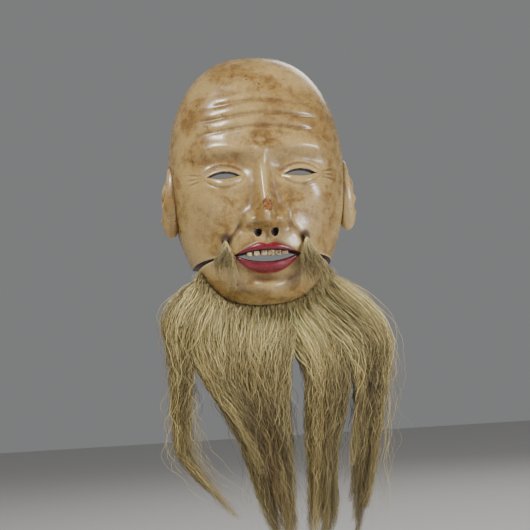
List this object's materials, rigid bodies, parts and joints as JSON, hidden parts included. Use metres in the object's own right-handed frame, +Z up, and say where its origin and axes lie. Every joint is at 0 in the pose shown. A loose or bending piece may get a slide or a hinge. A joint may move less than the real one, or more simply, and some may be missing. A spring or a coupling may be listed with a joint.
{
  "type": "theatre mask",
  "caption": "Carved wooden theatre mask of an old man, hollow behind, with a separate jaw hung on cords and long free-hanging horsehair beard locks and moustache tufts.",
  "frame": {"origin": "middle of the line between the two strap holes, in the plane of the back rim", "axes": "+Z up to the crown, the face looks along -Y, +X to the viewer's right"},
  "size_m": [0.177, 0.0801, 0.3968],
  "materials": {
    "lacquered_wood": "aged ivory lacquer over a shell-white ground, semi-gloss, stained golden brown",
    "bare_wood": "bare, dry",
    "cord": "dark brown twisted cord",
    "horsehair": "golden olive horsehair, soft sheen",
    "hair_root": "dark bundled hair ends"
  },
  "bodies": {
    "mask": {"mask_upper": "lacquered_wood", "jaw_cord_left": "cord", "moustache_left": "horsehair", "moustache_root_left": "hair_root", "moustache_peg_left": "bare_wood", "jaw_cord_right": "cord", "moustache_right": "horsehair", "moustache_root_right": "hair_root", "moustache_peg_right": "bare_wood"},
    "jaw": {"jaw": "lacquered_wood", "hair_root_01": "hair_root", "hair_root_02": "hair_root", "hair_root_03": "hair_root", "hair_root_04": "hair_root", "hair_root_05": "hair_root", "hair_root_06": "hair_root", "hair_root_07": "hair_root", "hair_root_08": "hair_root", "hair_root_09": "hair_root", "hair_root_10": "hair_root", "hair_root_11": "hair_root", "hair_root_12": "hair_root", "hair_root_13": "hair_root", "hair_root_14": "hair_root", "hair_root_15": "hair_root", "hair_peg_01": "bare_wood", "hair_peg_02": "bare_wood", "hair_peg_03": "bare_wood", "hair_peg_04": "bare_wood", "hair_peg_05": "bare_wood", "hair_peg_06": "bare_wood", "hair_peg_07": "bare_wood", "hair_peg_08": "bare_wood", "hair_peg_09": "bare_wood", "hair_peg_10": "bare_wood", "hair_peg_11": "bare_wood", "hair_peg_12": "bare_wood", "hair_peg_13": "bare_wood", "hair_peg_14": "bare_wood", "hair_peg_15": "bare_wood"},
    "chin_beard": {"beard_centre": "horsehair", "beard_centre_right": "horsehair"},
    "left_beard": {"beard_left": "horsehair"},
    "right_beard": {"beard_right": "horsehair"}
  },
  "joints": [
    {"name": "jaw_swing", "type": "hinge", "parent": "mask", "child": "jaw", "pos_m": [0, -0.04812, -0.086], "axis": [1, 0, 0], "range_deg": [0, 6]},
    {"name": "chin_beard_swing", "type": "hinge", "parent": "jaw", "child": "chin_beard", "pos_m": [0, -0.02411, -0.1278], "axis": [1, 0, 0], "range_deg": [-20, 20]},
    {"name": "left_beard_swing", "type": "hinge", "parent": "jaw", "child": "left_beard", "pos_m": [-0.058, -0.02411, -0.112], "axis": [1, 0, 0], "range_deg": [-20, 20]},
    {"name": "right_beard_swing", "type": "hinge", "parent": "jaw", "child": "right_beard", "pos_m": [0.058, -0.02411, -0.112], "axis": [1, 0, 0], "range_deg": [-20, 20]}
  ]
}
